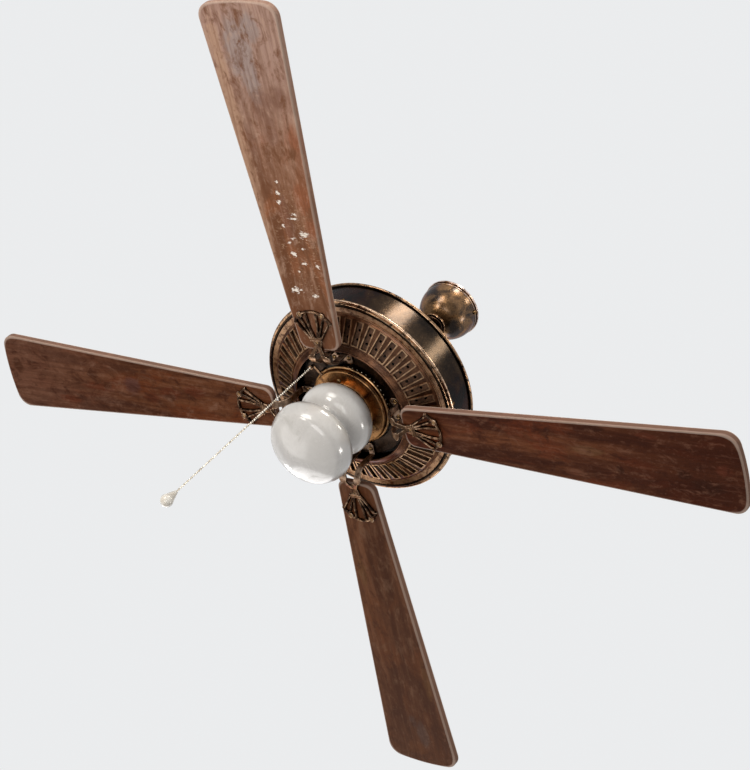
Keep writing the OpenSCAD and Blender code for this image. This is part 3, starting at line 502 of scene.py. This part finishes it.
stack = Finish("steel_stack", Metallic=1.0)
sheets = stack.node("ShaderNodeTexWave", {"bands_direction": "Z"}, {"Vector": stack.at(), "Scale": 320})
sheets = sheets.rise(0.2, 0.8)
stack.show(Base_Color=stack.mix(sheets, (0.10, 0.10, 0.105), (0.32, 0.32, 0.32)),
           Roughness=0.55 - 0.15 * sheets, Normal=stack.bump(sheets, 0.0001, 0.7))
stack.cover("stator_core", "rotor_ring")
copper = Finish("enamelled_copper", Metallic=1.0, Coat_Weight=0.6)
strands = copper.node("ShaderNodeTexWave", {"bands_direction": "Z"},
                      {"Vector": copper.at(), "Scale": 230, "Distortion": 1.5, "Detail": 1})
copper.show(Base_Color=copper.mix(strands, (0.18, 0.055, 0.02), (0.62, 0.26, 0.11)),
            Roughness=0.3 + 0.2 * strands, Normal=copper.bump(strands, 0.0002, 0.9))
copper.cover("stator_windings")
cast = Finish("cast_aluminium", Metallic=1.0)
sand = cast.noise(cast.at(), 420, 4, 0.6)
soot = cast.noise(cast.at(), 22, 4).rise(0.36, 0.6)
cast.show(Base_Color=cast.mix(soot, (0.20, 0.19, 0.18), (0.07, 0.058, 0.05)), Roughness=0.45 + 0.2 * sand,
          Normal=cast.bump(sand, 0.0003, 0.7))
cast.cover("rotor_cap_top", "rotor_cap_bottom")

# ---- flywheel and blade irons ----
# Four openwork bronze castings hang from the flywheel by two screws each. Their arms drop out
# through the middle opening, and the scrollwork carries a blade. The ridges and the arms' feet are
# painted bright, partly as rubbed metal and partly as a painted highlight.

IRON_VOXEL, IRON_SMOOTHING, FEET_RUB_AND_HIGHLIGHT = 0.00055, 7, (0.112, 0.104)
IRON_SCREW_R, IRON_SCREW_Y, IRON_SCREW_Z = 0.079, 0.013, -0.287


def cast_bronze(name, deep, body, ridge_wear_and_sheen):
    """Dark cast bronze, black in its hollows, and bright on its ridges, partly worn and partly a painted
    highlight.
    """
    bronze = Finish(name, Metallic=1.0, Coat_Weight=0.12, Coat_Roughness=0.2, Specular_Tint=EDGE_TINT)
    at = bronze.at()
    grit = bronze.noise(at, 620, 3, 0.6)
    cloud = bronze.noise(at, 110, 4, 0.6)
    ridged = bronze.node("ShaderNodeNewGeometry", out=7)
    bronze.colour = bronze.mix(cloud.rise(0.36, 0.64), deep, body)
    bronze.paint(ridged.rise(0.50, 0.44), deep)
    # Painted highlight, with some real wear: the ridges are painted bright.
    bronze.paint((ridged + 0.10 * (cloud - 0.5)).rise(0.515, 0.57), ridge_wear_and_sheen)
    bronze.show(Roughness=0.24 + 0.2 * cloud + 0.15 * (grit - 0.5), Normal=bronze.bump(grit, 0.0002, 0.6))
    return bronze


iron_bronze = cast_bronze("iron_bronze", (0.018, 0.009, 0.005), (0.155, 0.084, 0.047), (0.72, 0.52, 0.36))
# The arms' feet by the middle opening are painted paler, partly rubbed metal and partly a painted
# highlight.
rim_wear_and_sheen(iron_bronze, *FEET_RUB_AND_HIGHLIGHT, (0.66, 0.46, 0.33), 0.45)

# The casting's sharp arrises are melted down by a fine remesh and a few passes of smoothing.
bare = bpy.data.objects.new("iron_blank", nodes["blade_iron_1"].data.copy())
scene.collection.objects.link(bare)
remesh = bare.modifiers.new("remesh", "REMESH")
remesh.mode, remesh.voxel_size = "VOXEL", IRON_VOXEL
eased = bare.modifiers.new("ease", "SMOOTH")
eased.factor, eased.iterations = 0.5, IRON_SMOOTHING
bpy.context.view_layer.update()
casting = bpy.data.meshes.new_from_object(bare.evaluated_get(bpy.context.evaluated_depsgraph_get()))
bpy.data.objects.remove(bare)
for face in casting.polygons:
    face.use_smooth = True
quarter_turns = [Matrix.Rotation(number * math.pi / 2, 4, "Z") for number in range(4)]
for number, turn in enumerate(quarter_turns, 1):
    iron = bpy.data.objects.new(f"scroll_iron_{number}", casting.copy())
    scene.collection.objects.link(iron)
    iron.matrix_world = turn
    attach(iron, "rotor")
    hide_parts(f"blade_iron_{number}")
    iron_bronze.cover(iron)

wheel = old_bronze("flywheel_lacquer", (0.012, 0.008, 0.006), (0.05, 0.03, 0.02), (0.30, 0.22, 0.16),
                   rough=0.34, cloud_size=90)
wheel.cover("flywheel")
iron_screw = slotted_screw(shank_r=0.002, shank=0.0086, head_r=0.0036, head=0.002)
screw_set("iron_screw_heads", "iron_screws", screw_brass, iron_screw,
          [(turn @ Vector((IRON_SCREW_R, side * IRON_SCREW_Y, IRON_SCREW_Z)), (0, 0, -1))
           for turn in quarter_turns for side in (-1, 1)])

# ---- blades, their screws and washers ----
# Four mahogany-veneered boards, wider at the tip, which is slightly bowed, with rounded corners.
# Their edges are eased by hand, and the old varnish is scuffed, dusty and, on one board, chipped.

BLADE_Z, BLADE_T, PITCH = -0.338, 0.012, math.radians(2)
ROOT_R, TIP_R, ROOT_W, TIP_W = 0.1165, 0.660, 0.066, 0.133
ROOT_CORNER, TIP_CORNER, TIP_BOW, EDGE = 0.014, 0.022, 0.340, 0.0024
SIDE_SLOPE = (TIP_W - ROOT_W) / 2 / (TIP_R - ROOT_R)


def arc(centre, radius, start, end, steps):
    """Points of an arc, each with its outward normal."""
    turns = [start + (end - start) * k / steps for k in range(steps + 1)]
    normals = [Vector((math.cos(t), math.sin(t), 0)) for t in turns]
    return [(Vector(centre) + radius * n, n) for n in normals]


def blade_outline():
    """The edge of a blade that lies along +X, each point with its outward normal."""
    # The tip's corner is a circle that touches the straight side and the bow from inside.
    lean = math.atan(SIDE_SLOPE)
    bow_x = TIP_R - TIP_BOW
    off = ROOT_W / 2 - TIP_CORNER / math.cos(lean) - SIDE_SLOPE * (ROOT_R - bow_x)
    reach = TIP_BOW - TIP_CORNER
    a, b, c = 1 + SIDE_SLOPE ** 2, 2 * SIDE_SLOPE * off, off ** 2 - reach ** 2
    x = (-b + math.sqrt(b * b - 4 * a * c)) / (2 * a)
    tip = (bow_x + x, off + SIDE_SLOPE * x, 0)
    root = (ROOT_R + ROOT_CORNER, ROOT_W / 2 + SIDE_SLOPE * ROOT_CORNER - ROOT_CORNER / math.cos(lean), 0)
    side, bow = math.pi / 2 + lean, math.atan2(tip[1], tip[0] - bow_x)
    half = arc(root, ROOT_CORNER, math.pi, side, 10)
    start, end = half[-1][0], Vector(tip) + TIP_CORNER * half[-1][1]
    half += [(start.lerp(end, k / 24), half[-1][1]) for k in range(1, 24)]
    half += arc(tip, TIP_CORNER, side, bow, 12)
    half += arc((bow_x, 0, 0), TIP_BOW, bow, 0, 16)[1:]
    low = [(Vector((p.x, -p.y, 0)), Vector((n.x, -n.y, 0))) for p, n in half[::-1][1:]]
    return half + low


def board(name, outline, thick, edge):
    """A board with its edges rounded over on both faces, and a narrow flat band inside each round."""
    band = 0.001
    turns = [math.radians(turn) for turn in (0, 22.5, 45, 67.5, 90)]
    profile = [(edge + band, 0)] + [((1 - math.sin(t)) * edge, (1 - math.cos(t)) * edge) for t in turns]
    profile += [(inset, thick - up) for inset, up in profile[::-1]]
    count, points, faces = len(outline), [], []
    for inset, up in profile:
        points += [p - inset * n + Vector((0, 0, up)) for p, n in outline]
    for row in range(len(profile) - 1):
        a, b = row * count, (row + 1) * count
        faces += [(a + k, b + k, b + (k + 1) % count, a + (k + 1) % count) for k in range(count)]
    faces.append(tuple(range(count)))
    faces.append(tuple(range(len(points) - 1, len(points) - 1 - count, -1)))
    return raw_object(name, points, faces)


def nearest_spot(finish, spots):
    """1 in the middle of the nearest spot, 0 on its edge. A spot's middle and half size are in mm."""
    near = None
    for x, y, along, across in spots:
        off = finish.length(finish.at((1000 / along, 1000 / across, 0), (-x / along, -y / across, 0)))
        near = near.maths("MAXIMUM", near, 1 - off) if near else 1 - off
    return near


def wood_finish(name, seed, dark, mid, red, pale, tip, tip_lighting_share, marks, chips):
    """Stained veneer with its grain along x: streaked, mottled and smudged, with painted light and shade
    towards its tip, and pale along its edges, partly rubbed and partly a painted highlight.
    """
    wood = Finish(name, Specular_IOR_Level=0.03)
    shift = (seed * 1.73, seed * 0.91, seed * 0.37)
    bend = wood.noise(wood.at((1.6, 6, 6), shift), 1.0, 2)
    bent = wood.node("ShaderNodeVectorMath", {"operation": "MULTIPLY_ADD"},
                     {0: wood.node("ShaderNodeCombineXYZ", {}, {"Y": bend}), 1: (0, 0.02, 0),
                      2: wood.at((1, 1, 1), shift)})

    def grain(stretch, detail=4, rough=0.6, warp=0.0):
        place = wood.node("ShaderNodeVectorMath", {"operation": "MULTIPLY"}, {0: bent, 1: stretch})
        return wood.noise(place, 1.0, detail, rough, warp)

    streaks, lines, pores = grain((3.2, 26, 26)), grain((11, 170, 170)), grain((46, 900, 900))
    flame, fleck = grain((8, 20, 20), warp=0.8), grain((95, 150, 60))
    mottle = grain((26, 42, 42), 5, 0.68, 0.6)
    wood.colour = wood.mix(streaks.rise(0.36, 0.62), dark, mid)
    wood.paint(0.75 * flame.rise(0.50, 0.62), red)
    x, y, z = wood.at().parts()
    # Painted light and shade: along its length each blade moves towards its tip's colour.
    wood.paint(tip_lighting_share * (x + 0.2 * (mottle - 0.5)).rise(0.34, 0.62), tip)
    for colour, share, spots in marks:
        wood.paint(share * (nearest_spot(wood, spots) + 1.6 * (mottle - 0.5)).rise(0.0, 0.5), colour)
    coats = ((mottle, 0.82, 0.49, 0.32, dark), (mottle, 0.50, 0.52, 0.70, pale),
             (fleck, 0.40, 0.46, 0.30, dark), (fleck, 0.26, 0.54, 0.70, pale),
             (lines, 0.35, 0.56, 0.40, dark), (lines, 0.20, 0.56, 0.72, pale),
             (pores, 0.45, 0.60, 0.72, dark))
    for figure, share, low, high, stain in coats:
        wood.paint(share * figure.rise(low, high), stain)

    # How far a point is inside the outline, for the pale line round the board, partly rubbed varnish and
    # partly a painted highlight on the rounded corners.
    blend_tip, blend_root = 1.76 * TIP_CORNER, 1.76 * ROOT_CORNER
    side = ROOT_W / 2 + SIDE_SLOPE * (x - ROOT_R) - abs(y)
    from_bow = wood.length(wood.at((1, 1, 0), (TIP_BOW - TIP_R, 0, 0)))
    inside = side.maths("SMOOTH_MIN", side, TIP_BOW - from_bow, blend_tip)
    inside = inside.maths("SMOOTH_MIN", inside, x - ROOT_R, blend_root) + 0.0012 * (mottle - 0.5)
    near, far = 0.0014, 0.0034
    by_foot, by_top = z.rise(far, near), z.rise(BLADE_T - far, BLADE_T - near)
    # Painted highlight, with some real wear: a paler band round the side, and a pale line on both rounded
    # corners.
    wood.paint(0.35 * inside.rise(0.0012, 0.0003), (0.40, 0.25, 0.19))
    wood.paint((0.45 * by_foot + 0.85 * by_top) * inside.rise(0.0032, 0.0016), (0.52, 0.40, 0.33))
    if chips:
        under = z.rise(0.75 * BLADE_T, 0.25 * BLADE_T)
        worn = under * nearest_spot(wood, ((290, 8, 120, 46),)).rise(0.0, 0.5)
        crumb = wood.noise(wood.at((330, 150, 60), shift), 1.0, 4, 0.7, 0.5)
        wood.paint(0.7 * worn * crumb.rise(0.55, 0.68), (0.44, 0.27, 0.17))
        wood.paint(0.7 * worn * crumb.rise(0.45, 0.33), dark)
        chipped = (nearest_spot(wood, chips) + 3.4 * (crumb - 0.5)).rise(0.52, 0.66)
        wood.paint(under * chipped, (0.80, 0.72, 0.64))
    wood.show(Roughness=0.40 + 0.22 * mottle, Normal=wood.bump(lines + 0.6 * pores, 0.00035, 0.55))
    return wood


# For each blade: its dark, middle, red and pale stains, its tip's colour and share, its smudges as
# colour, share and spots, and the spots where its varnish is chipped off. The blades are one wood,
# and their brightness is painted light and shade: the first blade is painted lighter, as if lit, and
# the others darker, as if in shade. The tips of the first and fourth blades are painted lighter, and
# those of the second and third darker.
BLADE_LOOKS_AND_LIGHT = (
    ((0.140, 0.056, 0.027), (0.255, 0.120, 0.067), (0.270, 0.100, 0.045), (0.48, 0.31, 0.22),
     (0.39, 0.260, 0.215), 0.78,
     (((0.42, 0.255, 0.17), 0.75, ((400, -48, 330, 17),)),
      ((0.27, 0.092, 0.044), 0.70, ((455, 44, 28, 12), (363, 34, 32, 16), (318, 38, 22, 14))),
      ((0.31, 0.250, 0.235), 0.72, ((590, -10, 70, 30), (556, -2, 60, 18), (622, 14, 30, 22))),
      ((0.180, 0.088, 0.062), 0.60, ((508, 6, 30, 22), (519, 34, 22, 20), (468, 10, 34, 12),
                                     (330, -2, 50, 12)))),
     ((306, 22, 8, 13), (215, -16, 7, 16), (257, 32, 8, 6), (332, 12, 3, 14), (338, 11, 3, 10),
      (357, -7, 8, 6), (274, -5, 9, 7), (207, 14, 5, 8), (293, -7, 4, 8), (372, -6, 6, 5), (284, 14, 4, 6),
      (260, 8, 4, 8), (246, -2, 4, 5), (320, -10, 5, 4), (390, -3, 5, 4), (300, 2, 3, 7))),
    ((0.034, 0.008, 0.003), (0.118, 0.038, 0.015), (0.110, 0.024, 0.008), (0.18, 0.080, 0.048),
     (0.036, 0.007, 0.002), 0.80,
     (((0.120, 0.060, 0.026), 0.50, ((425, -6, 32, 9),)),
      ((0.100, 0.024, 0.011), 0.60, ((520, -45, 20, 8), (630, -5, 16, 12))),
      ((0.024, 0.006, 0.002), 0.75, ((600, 26, 34, 14), (568, 12, 14, 10), (440, -46, 22, 6),
                                     (470, 18, 7, 9)))),
     ()),
    ((0.052, 0.017, 0.007), (0.138, 0.054, 0.025), (0.128, 0.043, 0.016), (0.18, 0.095, 0.056),
     (0.070, 0.026, 0.012), 0.60,
     (((0.075, 0.048, 0.040), 0.60, ((595, -12, 36, 14), (575, 2, 16, 10))),
      ((0.130, 0.062, 0.022), 0.50, ((285, 28, 34, 10), (480, -46, 60, 8))),
      ((0.115, 0.040, 0.014), 0.50, ((630, 8, 18, 22),))),
     ()),
    ((0.036, 0.009, 0.003), (0.112, 0.038, 0.015), (0.108, 0.026, 0.007), (0.20, 0.100, 0.064),
     (0.125, 0.055, 0.034), 0.70,
     (((0.085, 0.018, 0.006), 0.70, ((270, 8, 26, 14), (320, 0, 26, 14), (360, -14, 20, 12),
                                     (470, -6, 44, 10), (535, -38, 32, 9))),
      ((0.078, 0.038, 0.035), 0.60, ((395, 4, 20, 20),)),
      ((0.040, 0.011, 0.003), 0.70, ((322, -8, 12, 8), (450, -2, 12, 8), (270, 40, 16, 7),
                                     (636, 12, 12, 18)))),
     ()))
outline, tilt = blade_outline(), Matrix.Rotation(PITCH, 4, "X")
for number, looks_and_light in enumerate(BLADE_LOOKS_AND_LIGHT, 1):
    blade = board(f"wooden_blade_{number}", outline, BLADE_T, EDGE)
    blade.matrix_world = Matrix.Translation((0, 0, BLADE_Z)) @ quarter_turns[number % 4] @ tilt
    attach(blade, "rotor")
    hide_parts(f"blade_{number}")
    wood_finish(f"mahogany_{number}", number, *looks_and_light).cover(blade)

fibre = Finish("washer_fibre")
fuzz = fibre.noise(fibre.at(), 900, 3)
fibre.show(Base_Color=fibre.mix(fuzz, (0.10, 0.022, 0.014), (0.24, 0.07, 0.045)),
           Roughness=0.7 + 0.2 * fuzz, Normal=fibre.bump(fuzz, 0.0002, 0.6))
fibre.cover("blade_washers")

# Three screws hold each blade: one in the iron's stem, and two in the bow round its end.
IRON_T, WASHER_T, STEM_HOLE_R = 0.004, 0.001, 0.131
BOW_R, BOW_X, BOW_HOLE_TURN = 0.0342, 0.148, math.radians(34)
bow_hole_x, bow_hole_y = BOW_X + BOW_R * math.cos(BOW_HOLE_TURN), BOW_R * math.sin(BOW_HOLE_TURN)
screw_spots = [(STEM_HOLE_R, 0), (bow_hole_x, bow_hole_y), (bow_hole_x, -bow_hole_y)]
blade_screw = slotted_screw(shank_r=0.0021, shank=IRON_T + BLADE_T + WASHER_T, head_r=0.0046, head=0.0024,
                            slot=0.0012)
blade_turns = [(turn @ tilt).to_3x3() for turn in quarter_turns]
screw_set("blade_screw_heads", "blade_screws", screw_brass, blade_screw,
          [(turn @ Vector((x, y, -IRON_T)) + Vector((0, 0, BLADE_Z)), turn @ Vector((0, 0, 1)))
           for turn in blade_turns for x, y in screw_spots])

# ---- switch cup and what it holds ----
# A spun brass cup with a heavy upper ring and a beaded band closes the hub. It is screwed to a
# steel plate on the shaft, and carries the pull switch, the capacitor and the reverse switch.

CUP_R, CUP_RIM, BEAD_Z, BEAD_HALF = 0.060, (0.0640, 0.0655), -0.291, 0.0020
CUP_SCREW_R, CUP_SCREW_Z, CUP_BOLT_R, CUP_BOLT_Z = 0.056, -0.285, 0.030, -0.3095
cup = old_bronze("cup_brass", (0.046, 0.017, 0.008), (0.400, 0.200, 0.078), (0.80, 0.56, 0.28),
                 rough=0.30, dents=0.0012)
# Painted highlight, with some real wear: the upper rim and the bead round the cup are painted bright.
rim_wear_and_sheen(cup, *CUP_RIM, (0.85, 0.55, 0.28), 0.7)
off_bead = abs(cup.at().parts()[2] - BEAD_Z)
on_bead = from_axis(cup).rise(CUP_R + 0.0004, CUP_R + 0.0011) * off_bead.rise(BEAD_HALF, 0.8 * BEAD_HALF)
cup.paint(0.9 * on_bead, (0.95, 0.82, 0.64))
cup.cover("switch_housing", "light_fitter")
collar.cover("chain_guide")
cup_screw = slotted_screw(shank_r=0.0016, shank=0.004, head_r=0.0028, head=0.0014)
cup_bolt = slotted_screw(shank_r=0.0016, shank=0.003, head_r=0.0028, head=0.0018)
cup_fixings = [set_at(cup_screw, *place) for place in outward(CUP_SCREW_R, CUP_SCREW_Z, (0, 120, 240))]
cup_fixings += [set_at(cup_bolt, round_axis(CUP_BOLT_R, CUP_BOLT_Z, turn)) for turn in (-10, 110, 230)]
screw_set("cup_screw_heads", "cup_screws", screw_brass, joined(cup_fixings), [((0, 0, 0), (0, 0, 1))])


def moulded(name, colour, sheen):
    """Moulded plastic with a fine grained skin, of another colour where it is rubbed."""
    plastic = Finish(name, Specular_IOR_Level=0.4)
    grain = plastic.noise(plastic.at(), 900, 3, 0.6)
    rub = plastic.noise(plastic.at(), 70, 4, 0.6)
    plastic.show(Base_Color=plastic.mix(0.7 * rub.rise(0.48, 0.68), colour, sheen),
                 Roughness=0.42 + 0.25 * rub, Normal=plastic.bump(grain, 0.0001, 0.6))
    return plastic


moulded("switch_black", (0.020, 0.020, 0.022), (0.060, 0.058, 0.055)).cover(
    "pull_switch", "capacitor", "reverse_switch")
moulded("lever_white", (0.72, 0.71, 0.66), (0.52, 0.49, 0.42)).cover("reverse_lever")

# ---- light: fitter, socket, bulb and glass ----
# A glazed ceramic socket holds a frosted bulb inside a blown shade of white opal glass, two
# bulges with a tight waist. Three thumb screws grip the shade's neck in a shallow brass fitter.

ceramic = Finish("socket_glaze", Roughness=0.2, Coat_Weight=0.5)
stain = ceramic.noise(ceramic.at(), 70, 4).rise(0.5, 0.72)
ceramic.show(Base_Color=ceramic.mix(stain, (0.74, 0.72, 0.67), (0.48, 0.40, 0.30)))
ceramic.cover("lamp_socket")
frosted = Finish("bulb_frost")
frost = frosted.noise(frosted.at(), 800, 2)
frosted.show(Base_Color=frosted.mix(frost, (0.78, 0.77, 0.72), (0.70, 0.68, 0.62)),
             Roughness=0.45 + 0.15 * frost)
frosted.cover("bulb")

# The shade is drawn from the height GLASS_Z: a neck, an upper bulge, a waist, a shoulder and belly
# that make the lower bulge, and a shallow base. A curve's centre is given as radius and height.
# The joins of the curves are eased a few times over.
GLASS_Z, GLASS_T, NECK_R, NECK_TOP, BASE_R, GLASS_DEEP = -0.338, 0.003, 0.0405, 0.028, 0.0575, 0.1085
UPPER, UPPER_CURVE, LOWER, SHOULDER_CURVE = (0.031, -0.004), 0.028, (0.046, -0.068), 0.020
BELLY, BELLY_CURVE, WAIST_CURVE, BASE_CURVE = (0.026, -0.068), 0.040, 0.010, 0.112
THUMB_SCREW_Z, EASING = GLASS_Z + 0.0238, 6
thumb_screw = slotted_screw(shank_r=0.0018, shank=0.008, head_r=0.0032, head=0.005)
screw_set("thumb_screws", "shade_screws", screw_brass, thumb_screw,
          outward(NECK_R, THUMB_SCREW_Z, (90, 210, 330)))


def glass_profile():
    """The shade's outline from the neck's top to the middle of its base, as radius and height."""
    # The waist is a circle that touches the upper bulge and the shoulder from outside.
    first, second = Vector(UPPER), Vector(LOWER)
    a, b, gap = UPPER_CURVE + WAIST_CURVE, SHOULDER_CURVE + WAIST_CURVE, (second - first).length
    along = (a * a - b * b + gap * gap) / (2 * gap)
    way = (second - first).normalized()
    waist = first + along * way + math.sqrt(a * a - along * along) * Vector((-way.y, way.x))
    up_turn = math.degrees(math.atan2(waist.y - first.y, waist.x - first.x))
    low_turn = math.degrees(math.atan2(waist.y - second.y, waist.x - second.x))
    neck_turn = math.degrees(math.acos((NECK_R - UPPER[0]) / UPPER_CURVE))
    base_z = BASE_CURVE - GLASS_DEEP
    base_turn = -math.degrees(math.acos(BASE_R / BASE_CURVE))
    belly_turn = -math.degrees(math.acos((BASE_R - BELLY[0]) / BELLY_CURVE))
    line = [(NECK_R, NECK_TOP), (NECK_R, NECK_TOP - 0.002)]
    line += curve(UPPER, UPPER_CURVE, neck_turn, up_turn, 30)
    line += curve(waist, WAIST_CURVE, 180 + up_turn, 180 + low_turn, 16)[1:]
    line += curve(LOWER, SHOULDER_CURVE, low_turn, 0, 14)[1:]
    line += curve(BELLY, BELLY_CURVE, 0, belly_turn, 12)[1:]
    line += curve((0, base_z), BASE_CURVE, base_turn, -90, 18)
    for _ in range(EASING):
        line[1:-1] = [(0.25 * a[0] + 0.5 * b[0] + 0.25 * c[0], 0.25 * a[1] + 0.5 * b[1] + 0.25 * c[1])
                      for a, b, c in zip(line, line[1:], line[2:])]
    return line


def inset(line, skin):
    """The line moved inwards by a skin thickness."""
    moved = []
    for k, (r, z) in enumerate(line):
        before, after = line[max(k - 1, 0)], line[min(k + 1, len(line) - 1)]
        along = Vector((after[0] - before[0], after[1] - before[1])).normalized()
        moved.append((max(r + skin * along.y, 0), z - skin * along.x))
    return moved


outer = glass_profile()
inner = inset(outer, GLASS_T)
lip = [(NECK_R + 0.0009, NECK_TOP - 0.0012), (NECK_R + 0.0006, NECK_TOP - 0.0002),
       (NECK_R - 0.0015, NECK_TOP)]
foot_z = outer[-1][1]
shade_line = [(0, foot_z)] + outer[-2:1:-1] + lip + inner[1:-1] + [(0, foot_z + GLASS_T)]
shade = raw_object("opal_shade", *turned([(r, GLASS_Z + z) for r, z in shade_line], around=128))
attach(shade, "hanging")
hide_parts("glass_shade")
opal = Finish("opal_glass", Coat_Weight=0.6, Coat_Roughness=0.12, Specular_IOR_Level=0.5)
at = opal.at()
dirt, dust = opal.noise(at, 26, 5, 0.65, 0.6), opal.noise(at, 340, 3, 0.6)
opal.colour = opal.mix(dirt.rise(0.36, 0.66), (0.54, 0.52, 0.50), (0.60, 0.58, 0.56))
opal.paint(0.5 * dirt.rise(0.44, 0.30), (0.40, 0.39, 0.36))
opal.paint(0.45 * dust.rise(0.62, 0.76), (0.40, 0.37, 0.31))
opal.show(Roughness=0.20 + 0.25 * dirt.rise(0.5, 0.35), Normal=opal.bump(dirt, 0.0004, 0.15))
opal.cover(shade)
